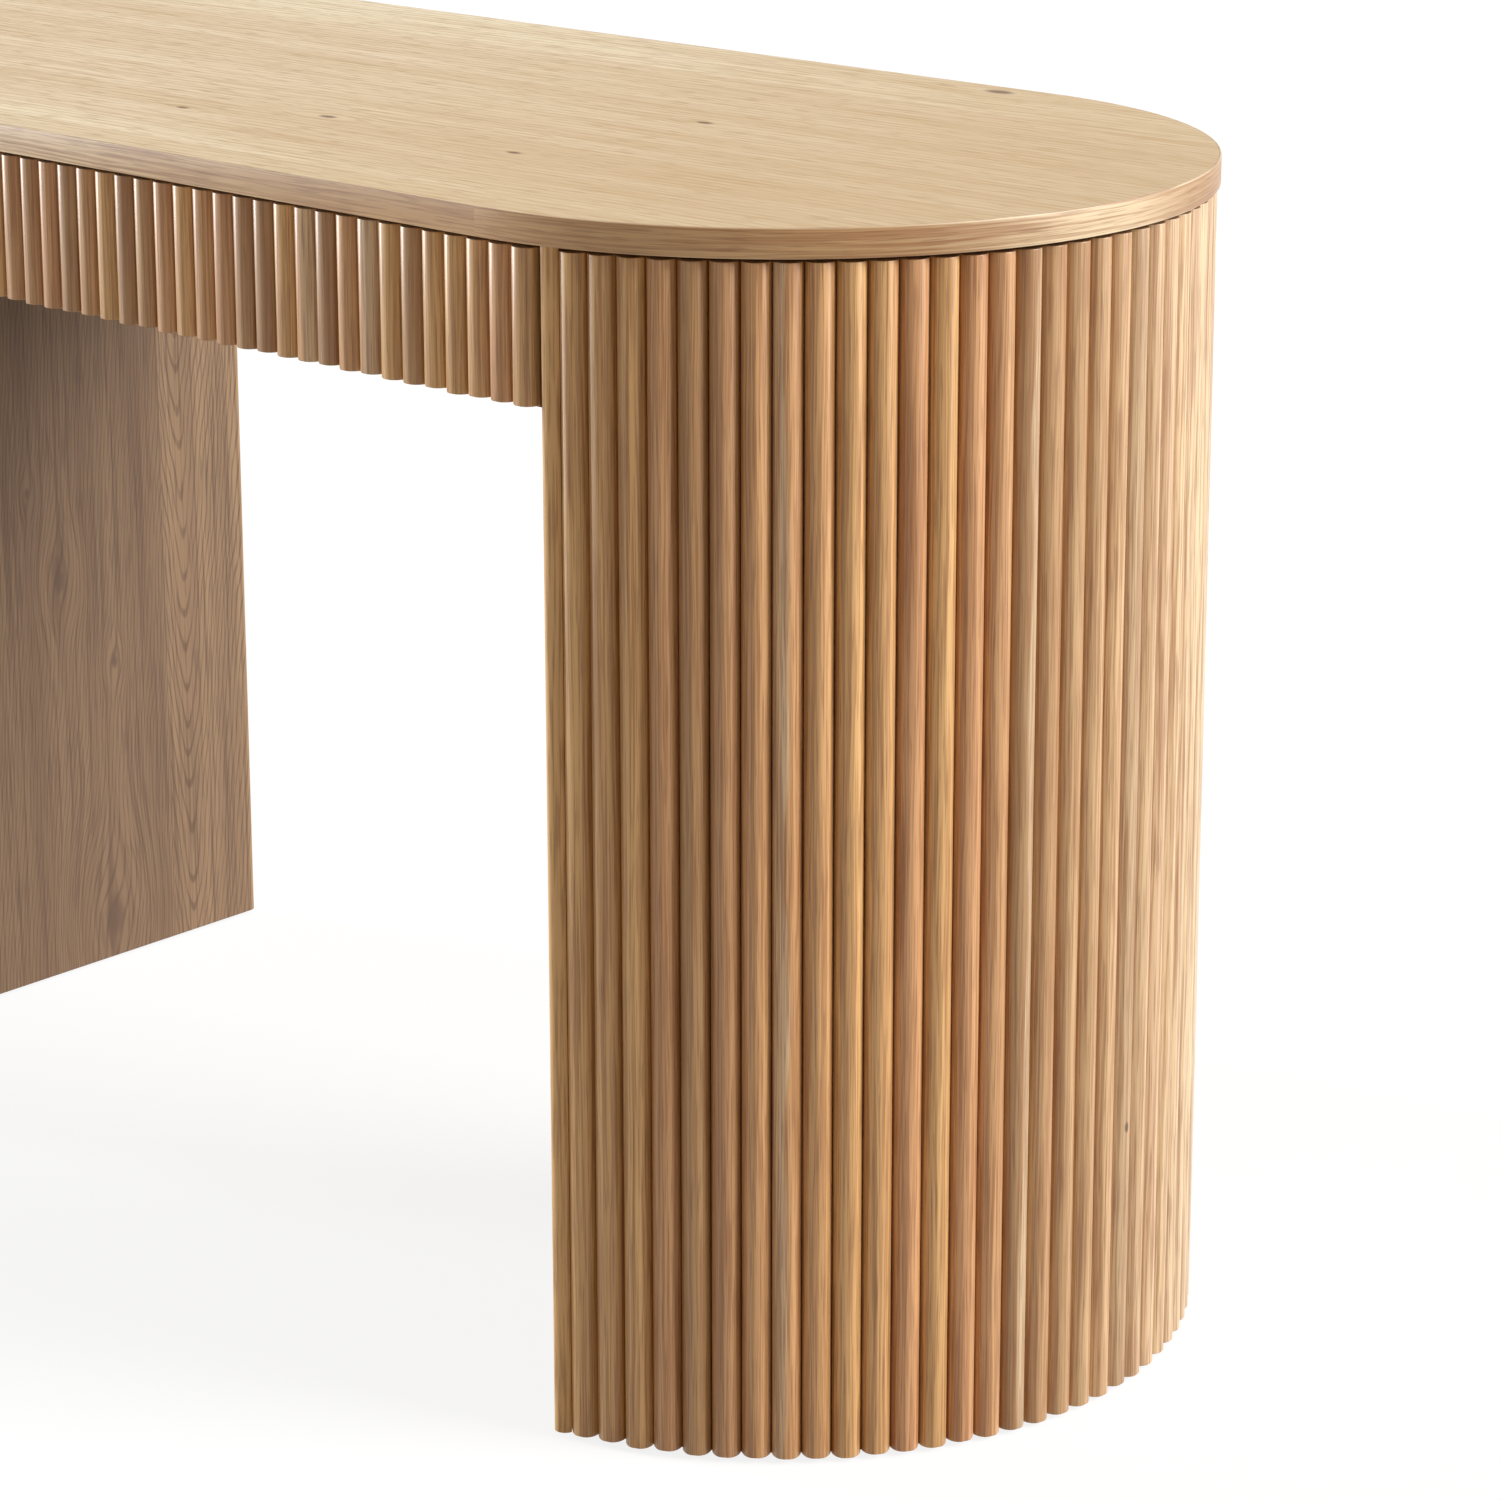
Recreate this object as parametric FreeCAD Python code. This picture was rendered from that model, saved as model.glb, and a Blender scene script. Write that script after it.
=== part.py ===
import FreeCAD, Part
import math
import os

os.makedirs("parts", exist_ok=True)
vec = FreeCAD.Vector

# Pill-shaped writing desk: a worktop with half-round ends, two D-shaped pedestals clad in
# half-round slats, and one wide slatted drawer on telescopic slides between them.
# Millimetres. The origin is on the floor under the middle, +X along the desk, -Y to the sitter.

# Overall size
length = 1300.0
depth = 540.0
height = 760.0

# Worktop
top_thickness = 18.0
band_thickness = 1.0
band_arris = 0.5
glue_line = 0.2

# Slats: a half round on a short straight base
slat_width = 17.7
slat_base = 1.6
slat_gap = 0.25
slat_top_gap = 2.5
top_overhang = 2.0

# Pedestals
inner_setback = 44.0
panel_thickness = 9.0
panel_gap = 0.35
shell_thickness = 6.0
plate_thickness = 18.0
rib_thickness = 12.0
rib_count = 2

# Glides under the base plates
glide_height = 3.0
glide_radius = 11.0
glide_circle = 205.0
glide_angles = (-65.0, -20.0, 20.0, 65.0)

# Dowels between the top plates and the worktop
dowel_radius = 4.0
dowel_embed = 12.0
dowel_fit = 0.1
dowel_circle = 165.0
dowel_angles = (-60.0, 60.0)

# Drawer front and rear rail
apron_drop = 97.0
front_thickness = 12.0
front_side_gap = 3.5
rail_thickness = 15.0
rail_slat_end_gap = 0.5

# Drawer box
box_wall = 12.0
box_bottom_rise = 12.0
box_top_clearance = 26.0
box_rear_clearance = 78.0
bottom_thickness = 4.0
bottom_rise = 8.0
groove_depth = 5.0
groove_play = 0.2

# Telescopic slides
slide_thickness = 12.7
slide_height = 45.7
slide_gauge = 1.2
slide_play = 0.4
slide_outer_depth = 11.0
slide_outer_lip = 2.6
slide_middle_lip = 3.4
slide_end_margin = 10.0

# Angle brackets in the drawer bay
bracket_leg = 20.0
bracket_width = 16.0
bracket_gauge = 2.0
bracket_from_middle = 120.0

# Countersunk screws
screw_shank = 1.6
screw_head = 3.0
screw_bite = 7.0
screw_hole_play = 0.1
slide_screw_inset = 40.0
front_screw_inset = 60.0
front_screw_pitch = 200.0

# Sizes that follow from those above
end_radius = depth / 2
arc_centre = length / 2 - end_radius
crest_radius = end_radius - top_overhang
slat_thickness = slat_base + slat_width / 2
slat_seat = crest_radius - slat_thickness
shell_outer = slat_seat - glue_line
shell_inner = shell_outer - shell_thickness
rib_radius = shell_inner - glue_line
under_top = height - top_thickness
slat_top = under_top - slat_top_gap
inner_face = arc_centre + inner_setback
panel_back = inner_setback + panel_thickness
apron_bottom = under_top - apron_drop
front_back_face = slat_seat - front_thickness
rail_front_face = slat_seat - rail_thickness
box_half_width = inner_face - slide_thickness
box_inner_half = box_half_width - box_wall
box_bottom = apron_bottom + box_bottom_rise
box_top = under_top - box_top_clearance
box_front_y = -front_back_face
box_rear_y = rail_front_face - box_rear_clearance
slide_z = (box_bottom + box_top) / 2
slide_front_y = box_front_y + slide_end_margin
slide_rear_y = box_rear_y - slide_end_margin


def save(name, solids):
    Part.makeCompound(solids).exportStep("parts/" + name + ".step")


def mirrored(solids):
    return [solid.mirror(vec(0, 0, 0), vec(1, 0, 0)) for solid in solids]


def save_pair(name, right_solids):
    save("right_" + name, right_solids)
    save("left_" + name, mirrored(right_solids))


def box(x0, x1, y0, y1, z0, z1):
    return Part.makeBox(x1 - x0, y1 - y0, z1 - z0, vec(x0, y0, z0))


def prism(edges, path):
    return Part.Face(Part.Wire(edges)).extrude(path)


def polygon_prism(points, path):
    return Part.Face(Part.makePolygon(points + points[:1])).extrude(path)


def line(a, b):
    return Part.makeLine(a, b)


def arc(a, through, b):
    return Part.Arc(a, through, b).toShape()


def cut_all(solid, cutters):
    return solid.cut(Part.makeCompound(cutters)).Solids[0]


def polar(radius, angle):
    # Plan position round the right end's centre, angle in degrees from +X
    turn = math.radians(angle)
    return vec(arc_centre + radius * math.cos(turn), radius * math.sin(turn), 0)


def stadium(radius, z0, z1):
    # Plan of two straight sides and two half circles about the end centres
    c = arc_centre
    edges = [
        line(vec(-c, -radius, z0), vec(c, -radius, z0)),
        arc(vec(c, -radius, z0), vec(c + radius, 0, z0), vec(c, radius, z0)),
        line(vec(c, radius, z0), vec(-c, radius, z0)),
        arc(vec(-c, radius, z0), vec(-c - radius, 0, z0), vec(-c, -radius, z0)),
    ]
    return prism(edges, vec(0, 0, z1 - z0))


def d_plate(radius, chord, z0, z1):
    # Segment of a disc about the right end's centre, flat at a distance from the centre
    half = math.sqrt(radius**2 - chord**2)
    x = arc_centre + chord
    low = vec(x, -half, z0)
    high = vec(x, half, z0)
    edges = [arc(low, vec(arc_centre + radius, 0, z0), high), line(high, low)]
    return prism(edges, vec(0, 0, z1 - z0))


def slat(foot, angle, z0, z1):
    # Half-round strip with its glued face at foot, facing outward along the angle
    side = slat_width / 2
    corners = [vec(0, -side, 0), vec(slat_base, -side, 0), vec(slat_base, side, 0), vec(0, side, 0)]
    edges = [
        line(corners[0], corners[1]),
        arc(corners[1], vec(slat_thickness, 0, 0), corners[2]),
        line(corners[2], corners[3]),
        line(corners[3], corners[0]),
    ]
    strip = prism(edges, vec(0, 0, z1 - z0))
    strip.rotate(vec(0, 0, 0), vec(0, 0, 1), angle)
    strip.translate(vec(foot.x, foot.y, z0))
    return strip


def slat_row(width, y, angle):
    # As many slats as the width holds, spread evenly over it
    count = int(width / (slat_width + slat_gap))
    pitch = width / count
    first = -(count - 1) * pitch / 2
    return [slat(vec(first + i * pitch, y, 0), angle, apron_bottom, slat_top) for i in range(count)]


def screw(point, direction, reach, head_depth, play=0.0):
    # Countersunk screw turned about its axis, head flush with the point
    profile = [
        vec(0, 0, 0),
        vec(screw_head + play, 0, 0),
        vec(screw_shank + play, 0, head_depth),
        vec(screw_shank + play, 0, reach),
        vec(0, 0, reach),
    ]
    face = Part.Face(Part.makePolygon(profile + profile[:1]))
    solid = face.revolve(vec(0, 0, 0), vec(0, 0, 1), 360)
    solid.Placement = FreeCAD.Placement(point, FreeCAD.Rotation(vec(0, 0, 1), direction))
    return solid


def folded_section(path, gauge):
    # Outline of folded sheet: each point of the middle line is pushed to both sides on its mitre
    left = []
    right = []
    for i, point in enumerate(path):
        ahead = (path[min(i + 1, len(path) - 1)] - path[min(i, len(path) - 2)]).normalize()
        behind = (path[max(i, 1)] - path[max(i - 1, 0)]).normalize()
        normals = vec(-ahead.y, ahead.x, 0) + vec(-behind.y, behind.x, 0)
        offset = normals * (gauge / (2 + 2 * ahead.dot(behind)))
        left.append(point + offset)
        right.append(point - offset)
    return left + right[::-1]


def slide_member(path):
    # Section points are (distance from the inner panel, height); the member runs front to rear
    outline = folded_section(path, slide_gauge)
    points = [vec(inner_face - p.x, slide_front_y, slide_z + p.y) for p in outline]
    return polygon_prism(points, vec(0, slide_rear_y - slide_front_y, 0))


def lipped_channel(web, flange, lip, lip_end):
    return [
        vec(lip, lip_end, 0),
        vec(lip, flange, 0),
        vec(web, flange, 0),
        vec(web, -flange, 0),
        vec(lip, -flange, 0),
        vec(lip, -lip_end, 0),
    ]


# Worktop with blind dowel holes, and the band glued round its edge
core_radius = end_radius - band_thickness - glue_line
dowels = []
dowel_holes = []
for angle in dowel_angles:
    foot = polar(dowel_circle, angle) + vec(0, 0, under_top - dowel_embed)
    dowels.append(Part.makeCylinder(dowel_radius, 2 * dowel_embed, foot))
    dowel_holes.append(Part.makeCylinder(dowel_radius + dowel_fit, 2 * dowel_embed, foot))
save_pair("top_dowels", dowels)

worktop = stadium(core_radius, under_top, height)
save("worktop", [cut_all(worktop, dowel_holes + mirrored(dowel_holes))])

blank = stadium(end_radius, under_top, height)
rims = [
    edge
    for edge in blank.Edges
    if edge.BoundBox.ZLength < band_arris
]
blank = blank.makeChamfer(band_arris, rims)
bore = stadium(end_radius - band_thickness, under_top, height)
save("worktop_edge_band", [blank.cut(bore).Solids[0]])

# Inner panel: flat board with half-round front and rear edges, its noses level with the slat crests
nose = panel_thickness / 2
panel_reach = math.sqrt(crest_radius**2 - (inner_setback + nose) ** 2)
straight = panel_reach - nose
outer_face = inner_face + panel_thickness
panel_edges = [
    arc(
        vec(inner_face, -straight, glide_height),
        vec(inner_face + nose, -panel_reach, glide_height),
        vec(outer_face, -straight, glide_height),
    ),
    line(vec(outer_face, -straight, glide_height), vec(outer_face, straight, glide_height)),
    arc(
        vec(outer_face, straight, glide_height),
        vec(inner_face + nose, panel_reach, glide_height),
        vec(inner_face, straight, glide_height),
    ),
    line(vec(inner_face, straight, glide_height), vec(inner_face, -straight, glide_height)),
]
save_pair("inner_panel", [prism(panel_edges, vec(0, 0, under_top - glide_height))])

# Bent plywood shell that carries the slats
shell_chord = panel_back + panel_gap
shell_body = d_plate(shell_outer, shell_chord, glide_height, under_top)
shell_void = d_plate(shell_inner, 0, glide_height, under_top)
save_pair("curved_shell", [shell_body.cut(shell_void).Solids[0]])

# Slats fanned evenly round the shell, the end ones just clear of the inner panel
half_slat = slat_width / 2
corner_radius = math.hypot(slat_seat, half_slat)
end_angle = math.acos((panel_back + panel_gap) / corner_radius) - math.atan(half_slat / slat_seat)
least_pitch = 2 * math.atan((slat_width + slat_gap) / 2 / slat_seat)
steps = int(2 * end_angle / least_pitch)
fan = [math.degrees(end_angle * (2 * i / steps - 1)) for i in range(steps + 1)]
save_pair("pedestal_slats", [slat(polar(slat_seat, a), a, glide_height, slat_top) for a in fan])

# D-shaped formers inside the shell
base_top = glide_height + plate_thickness
cap_bottom = under_top - plate_thickness
save_pair("base_plate", [d_plate(rib_radius, panel_back, glide_height, base_top)])
rib_pitch = (cap_bottom - base_top) / (rib_count + 1)
ribs = []
for i in range(rib_count):
    rib_middle = base_top + (i + 1) * rib_pitch
    rib_low = rib_middle - rib_thickness / 2
    ribs.append(d_plate(rib_radius, panel_back, rib_low, rib_low + rib_thickness))
save_pair("middle_ribs", ribs)
cap = d_plate(rib_radius, panel_back, cap_bottom, under_top)
save_pair("top_plate", [cut_all(cap, dowel_holes)])

# Nylon glides
glides = [Part.makeCylinder(glide_radius, glide_height, polar(glide_circle, a)) for a in glide_angles]
save_pair("glides", glides)

# Rear rail and its slats
rail = box(-inner_face, inner_face, rail_front_face, slat_seat, apron_bottom, under_top)
save("rear_rail", [rail])
rail_slat_width = 2 * (inner_face - rail_slat_end_gap)
save("rear_rail_slats", slat_row(rail_slat_width, slat_seat, 90))

# Angle brackets: two under the worktop on each inner panel, one on each end of the rear rail
bracket_screws = []
top_brackets = []
leg_middle = bracket_leg / 2
for side_y in (-bracket_from_middle, bracket_from_middle):
    y0 = side_y - bracket_width / 2
    fold = [
        vec(inner_face, y0, under_top),
        vec(inner_face - bracket_leg, y0, under_top),
        vec(inner_face - bracket_leg, y0, under_top - bracket_gauge),
        vec(inner_face - bracket_gauge, y0, under_top - bracket_gauge),
        vec(inner_face - bracket_gauge, y0, under_top - bracket_leg),
        vec(inner_face, y0, under_top - bracket_leg),
    ]
    angle_iron = polygon_prism(fold, vec(0, bracket_width, 0))
    seats = [
        (vec(inner_face - leg_middle, side_y, under_top - bracket_gauge), vec(0, 0, 1)),
        (vec(inner_face - bracket_gauge, side_y, under_top - leg_middle), vec(1, 0, 0)),
    ]
    reach = bracket_gauge + screw_bite
    bracket_screws += [screw(p, d, reach, bracket_gauge) for p, d in seats]
    holes = [screw(p, d, reach, bracket_gauge, screw_hole_play) for p, d in seats]
    top_brackets.append(cut_all(angle_iron, holes))
save("worktop_brackets", top_brackets + mirrored(top_brackets))

z0 = (apron_bottom + under_top - bracket_width) / 2
fold = [
    vec(inner_face, rail_front_face, z0),
    vec(inner_face - bracket_leg, rail_front_face, z0),
    vec(inner_face - bracket_leg, rail_front_face - bracket_gauge, z0),
    vec(inner_face - bracket_gauge, rail_front_face - bracket_gauge, z0),
    vec(inner_face - bracket_gauge, rail_front_face - bracket_leg, z0),
    vec(inner_face, rail_front_face - bracket_leg, z0),
]
angle_iron = polygon_prism(fold, vec(0, 0, bracket_width))
bracket_z = z0 + bracket_width / 2
seats = [
    (vec(inner_face - leg_middle, rail_front_face - bracket_gauge, bracket_z), vec(0, 1, 0)),
    (vec(inner_face - bracket_gauge, rail_front_face - leg_middle, bracket_z), vec(1, 0, 0)),
]
bracket_screws += [screw(p, d, reach, bracket_gauge) for p, d in seats]
holes = [screw(p, d, reach, bracket_gauge, screw_hole_play) for p, d in seats]
rail_brackets = [cut_all(angle_iron, holes)]
save("rear_rail_brackets", rail_brackets + mirrored(rail_brackets))
save("bracket_screws", bracket_screws + mirrored(bracket_screws))

# Telescopic slide: each member's lips run inside the next one's with a little play
half_gauge = slide_gauge / 2
step = slide_gauge + slide_play
outer_flange = slide_height / 2 - half_gauge
outer_lip = slide_outer_depth - half_gauge
outer_lip_end = outer_flange - slide_outer_lip
middle_web = half_gauge + step
middle_flange = outer_flange - step
middle_lip = outer_lip - step
middle_lip_end = middle_flange - slide_middle_lip
inner_web = slide_thickness - half_gauge
inner_flange = middle_lip_end - slide_play - half_gauge
inner_lip = middle_lip - step
inner_lip_end = middle_flange - half_gauge - slide_play

outer = slide_member(lipped_channel(half_gauge, outer_flange, outer_lip, outer_lip_end))
middle = slide_member(lipped_channel(middle_web, middle_flange, middle_lip, middle_lip_end))
inner = slide_member(lipped_channel(inner_web, inner_flange, inner_lip, inner_lip_end))

screw_rows = (slide_front_y + slide_screw_inset, slide_rear_y - slide_screw_inset)
panel_seats = [(vec(inner_face - slide_gauge, y, slide_z), vec(1, 0, 0)) for y in screw_rows]
box_seats = [
    (vec(inner_face - slide_thickness + slide_gauge, y, slide_z), vec(-1, 0, 0)) for y in screw_rows
]
reach = slide_gauge + screw_bite
panel_screws = [screw(p, d, reach, slide_gauge) for p, d in panel_seats]
box_screws = [screw(p, d, reach, slide_gauge) for p, d in box_seats]
panel_holes = [screw(p, d, reach, slide_gauge, screw_hole_play) for p, d in panel_seats]
box_holes = [screw(p, d, reach, slide_gauge, screw_hole_play) for p, d in box_seats]
save_pair("slide_outer", [cut_all(outer, panel_holes)])
save_pair("slide_middle", [middle])
save_pair("slide_inner", [cut_all(inner, box_holes)])
save("slide_panel_screws", panel_screws + mirrored(panel_screws))
save("slide_drawer_screws", box_screws + mirrored(box_screws))

# Drawer front with its slats
front_half = inner_face - front_side_gap
front = box(-front_half, front_half, -slat_seat, -front_back_face, apron_bottom, slat_top)
save("drawer_front_panel", [front])
save("drawer_front_slats", slat_row(2 * front_half, -slat_seat, -90))

# Drawer box, its bottom let into a groove on all four walls
bottom_low = box_bottom + bottom_rise
groove_half = box_inner_half + groove_depth
groove_front = box_front_y + box_wall - groove_depth
groove_rear = box_rear_y - box_wall + groove_depth
groove = box(
    -groove_half,
    groove_half,
    groove_front,
    groove_rear,
    bottom_low - groove_play,
    bottom_low + bottom_thickness + groove_play,
)
side = box(box_inner_half, box_half_width, box_front_y, box_rear_y, box_bottom, box_top)
save_pair("drawer_side", [cut_all(side, [groove])])

wall_front = box_front_y + box_wall
wall_rear = box_rear_y - box_wall
box_front = box(-box_inner_half, box_inner_half, box_front_y, wall_front, box_bottom, box_top)
box_back = box(-box_inner_half, box_inner_half, wall_rear, box_rear_y, box_bottom, box_top)
save("drawer_box_back", [cut_all(box_back, [groove])])

front_seats = [
    (vec(x, wall_front, slide_z), vec(0, -1, 0))
    for x in (front_screw_pitch / 2, box_inner_half - front_screw_inset)
]
reach = box_wall + screw_bite
front_screws = [screw(p, d, reach, bracket_gauge) for p, d in front_seats]
front_holes = [screw(p, d, reach, bracket_gauge, screw_hole_play) for p, d in front_seats]
save("drawer_box_front", [cut_all(box_front, [groove] + front_holes + mirrored(front_holes))])
save("drawer_front_screws", front_screws + mirrored(front_screws))

floor_half = groove_half - groove_play
drawer_floor = box(
    -floor_half,
    floor_half,
    groove_front + groove_play,
    groove_rear - groove_play,
    bottom_low,
    bottom_low + bottom_thickness,
)
save("drawer_bottom", [drawer_floor])
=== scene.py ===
import math
import bpy
import numpy as np
from mathutils import Matrix, Vector


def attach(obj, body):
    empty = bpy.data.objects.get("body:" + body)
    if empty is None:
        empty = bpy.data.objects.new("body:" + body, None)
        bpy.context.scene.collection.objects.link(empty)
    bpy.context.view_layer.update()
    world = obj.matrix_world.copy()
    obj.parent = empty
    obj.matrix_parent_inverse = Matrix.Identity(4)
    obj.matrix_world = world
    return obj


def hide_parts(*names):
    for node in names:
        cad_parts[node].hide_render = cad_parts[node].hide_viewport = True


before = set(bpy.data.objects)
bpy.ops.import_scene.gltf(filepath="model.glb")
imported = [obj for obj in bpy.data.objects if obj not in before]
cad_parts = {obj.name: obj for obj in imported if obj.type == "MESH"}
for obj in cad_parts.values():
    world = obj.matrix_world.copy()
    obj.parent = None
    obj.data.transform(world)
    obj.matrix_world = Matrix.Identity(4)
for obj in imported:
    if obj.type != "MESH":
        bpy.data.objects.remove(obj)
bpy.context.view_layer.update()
mm = 0.001
crispEdge = math.radians(32)      # an edge that turns by more than this stays crisp
smooth = {"interpolation_type": "SMOOTHSTEP"}
print("frame:", len(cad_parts), "CAD nodes")


def toLinear(hexColour):
    srgb = np.array([int(hexColour[i:i + 2], 16) for i in (1, 3, 5)]) / 255
    linear = np.where(srgb <= 0.04045, srgb / 12.92, ((srgb + 0.055) / 1.055) ** 2.4)
    return (*linear.tolist(), 1.0)


def add(tree, kind, links=None, **settings):
    # One node: settings are its properties, links fill its inputs with a node, a socket or a value
    made = tree.nodes.new(kind)
    for key, value in settings.items():
        setattr(made, key, value)
    for key, value in (links or {}).items():
        if isinstance(value, bpy.types.Node):
            value = value.outputs[0]
        if isinstance(value, bpy.types.NodeSocket):
            tree.links.new(value, made.inputs[key])
        else:
            made.inputs[key].default_value = value
    return made


def startMaterial(name):
    material = bpy.data.materials.new(name)
    material.use_nodes = True
    material.node_tree.nodes.clear()
    return material, material.node_tree


def streaks(tree, grain, acrossMm, alongMm, detail=2.0):
    # Noise drawn out along the grain; grain is a vector of (across, along, 0) in metres
    size = (1 / (acrossMm * mm), 1 / (alongMm * mm), 1.0)
    place = add(tree, "ShaderNodeMapping", {0: grain, 3: size})
    return add(tree, "ShaderNodeTexNoise", {"Vector": place, "Scale": 1.0, "Detail": detail})


def layer(tree, under, over, mask, low=0.0, high=1.0, amount=1.0):
    # Lays one colour over another where the mask climbs from low to high, by amount at most
    under, over = [toLinear(c) if isinstance(c, str) else c for c in (under, over)]
    share = add(tree, "ShaderNodeMapRange", {0: mask, 1: low, 2: high, 4: amount}, **smooth)
    return add(tree, "ShaderNodeMix", {0: share, 6: under, 7: over}, data_type="RGBA").outputs[2]


def makePiece(name, points, uv, body, nodes, material, loop=False, facts=None):
    # points is (strips, rows, columns, 3): each strip is a closed ring of columns carried through its
    # rows, counter-clockwise seen from the last row. loop joins the last row to the first, otherwise
    # both ends get a flat cap. uv has one more column (and row, for a loop) so a seam keeps its values.
    strips, rows, columns = points.shape[:3]
    index = np.arange(strips * rows * columns).reshape(strips, rows, columns)
    ring = np.concatenate([index, index[:, :, :1]], 2)
    if loop:
        ring = np.concatenate([ring, ring[:, :1]], 1)
    place = np.arange(ring.size).reshape(ring.shape)
    here, ahead = slice(None, -1), slice(1, None)
    corners = ((here, here), (here, ahead), (ahead, ahead), (ahead, here))
    faces = np.stack([ring[:, r, c] for r, c in corners], -1).reshape(-1, 4).tolist()
    loopPlaces = [np.stack([place[:, r, c] for r, c in corners], -1).ravel()]
    if not loop:
        faces += index[:, 0, ::-1].tolist() + index[:, -1].tolist()
        loopPlaces += [place[:, 0, -2::-1].ravel(), place[:, -1, :-1].ravel()]
    mesh = bpy.data.meshes.new(name)
    mesh.from_pydata(points.reshape(-1, 3).tolist(), [], faces)
    layerUv = mesh.uv_layers.new(name="grain")
    cornerUv = uv.reshape(-1, 2)[np.concatenate(loopPlaces)]
    layerUv.data.foreach_set("uv", cornerUv.astype(np.float32).ravel())
    for key, values in (facts or {}).items():
        fact = mesh.attributes.new(key, "FLOAT", "POINT")
        fact.data.foreach_set("value", np.broadcast_to(values, index.shape).astype(np.float32).ravel())
    mesh.shade_smooth()
    mesh.set_sharp_from_angle(angle=crispEdge)
    mesh.materials.append(material)
    piece = bpy.data.objects.new(name, mesh)
    bpy.context.scene.collection.objects.link(piece)
    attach(piece, body)
    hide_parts(*nodes)


# Sliced and lacquered wood: boards side by side, arched growth lines, short open pores, a few knots.
# across and along are the object axes of the sheet. Sizes in a look are millimetres, and a mask is the
# range of the noise over which its colour comes in.
def slicedWood(name, across, along, look, plyAxis=None):
    material, tree = startMaterial(name)
    where = add(tree, "ShaderNodeTexCoord")
    parts = add(tree, "ShaderNodeSeparateXYZ", {0: where.outputs["Object"]})
    sheet = add(tree, "ShaderNodeCombineXYZ", {0: parts.outputs[across], 1: parts.outputs[along]})
    width = look["boardWidth"] * mm
    order = add(tree, "ShaderNodeMath", {0: parts.outputs[across], 1: 1 / width,
                2: -look["boardStart"] * mm / width}, operation="MULTIPLY_ADD")
    board = add(tree, "ShaderNodeMath", {0: order}, operation="FLOOR")
    boardDraw = add(tree, "ShaderNodeMath", {0: board, 1: look["seed"]}, operation="ADD")
    boardTone = add(tree, "ShaderNodeTexWhiteNoise", {"W": boardDraw}, noise_dimensions="1D")
    # Round a knot the growth lines bulge sideways: across is squeezed towards the knot's middle
    bent = sheet
    dark = None
    for knotAcross, knotAlong, radius in look["knots"]:
        middle = (knotAcross * mm, knotAlong * mm, 0.0)
        away = add(tree, "ShaderNodeVectorMath", {0: sheet, 1: middle}, operation="SUBTRACT")
        oval = add(tree, "ShaderNodeVectorMath", {0: away, 1: (1.0, look["knotOval"], 0.0)},
                   operation="MULTIPLY")
        far = add(tree, "ShaderNodeVectorMath", {0: oval}, operation="LENGTH").outputs["Value"]
        size = radius * mm
        pull = add(tree, "ShaderNodeMapRange", {0: far, 1: look["bulgeFrom"] * size,
                   2: look["bulgeTo"] * size, 3: look["bulge"], 4: 0.0}, **smooth)
        aside = add(tree, "ShaderNodeVectorMath", {0: away, 1: (1.0, 0.0, 0.0)}, operation="MULTIPLY")
        push = add(tree, "ShaderNodeVectorMath", {0: aside, "Scale": pull}, operation="SCALE")
        bent = add(tree, "ShaderNodeVectorMath", {0: bent, 1: push}, operation="SUBTRACT")
        core = add(tree, "ShaderNodeMapRange", {0: far, 1: look["coreFrom"] * size,
                   2: look["coreTo"] * size, 3: 1.0, 4: 0.0}, **smooth)
        if dark is not None:
            core = add(tree, "ShaderNodeMath", {0: dark, 1: core}, operation="MAXIMUM")
        dark = core
    # Each board was cut from another place in the log
    jump = add(tree, "ShaderNodeVectorMath", {0: board.outputs[0], 1: look["boardJump"]},
               operation="MULTIPLY")
    grain = add(tree, "ShaderNodeVectorMath", {0: bent, 1: jump}, operation="ADD")
    wander = streaks(tree, grain, look["wanderAcross"], look["wanderAlong"])
    fibre = streaks(tree, grain, look["fibreWidth"], look["fibreLength"], detail=4.0)
    pore = streaks(tree, grain, look["poreWidth"], look["poreLength"], detail=1.0)
    stripe = streaks(tree, grain, look["stripeWidth"], look["stripeLength"])
    # Growth lines: along minus steep times the distance from the board's apex, so they meet in arches
    bentParts = add(tree, "ShaderNodeSeparateXYZ", {0: bent})
    apex = add(tree, "ShaderNodeMath", {0: board, 1: look["apexPitch"] * mm, 2: look["apexFirst"] * mm},
               operation="MULTIPLY_ADD")
    steep = add(tree, "ShaderNodeMath", {0: board, 1: -look["steepStep"], 2: -look["steepFirst"]},
                operation="MULTIPLY_ADD")
    offset = add(tree, "ShaderNodeMath", {0: bentParts.outputs[0], 1: apex}, operation="SUBTRACT")
    square = add(tree, "ShaderNodeMath", {0: offset, 1: offset, 2: (look["archRound"] * mm) ** 2},
                 operation="MULTIPLY_ADD")
    leg = add(tree, "ShaderNodeMath", {0: square, 1: 0.5}, operation="POWER")
    arch = add(tree, "ShaderNodeMath", {0: leg, 1: steep, 2: bentParts.outputs[1]},
               operation="MULTIPLY_ADD")
    ring = add(tree, "ShaderNodeMath", {0: wander, 1: look["wanderAmount"] * mm, 2: arch},
               operation="MULTIPLY_ADD")
    turn = add(tree, "ShaderNodeMath", {0: ring, 1: 2 * math.pi / (look["archPitch"] * mm)},
               operation="MULTIPLY")
    wave = add(tree, "ShaderNodeMath", {0: turn}, operation="SINE")
    lines = add(tree, "ShaderNodeMapRange", {0: wave, 1: look["lineSharp"], 2: 1.0}, **smooth)
    thread = add(tree, "ShaderNodeMapRange", {0: fibre, 1: look["threadFrom"], 2: look["threadTo"],
                 3: look["threadLeast"], 4: 1.0}, **smooth)
    broken = add(tree, "ShaderNodeMath", {0: lines, 1: thread}, operation="MULTIPLY")
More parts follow.
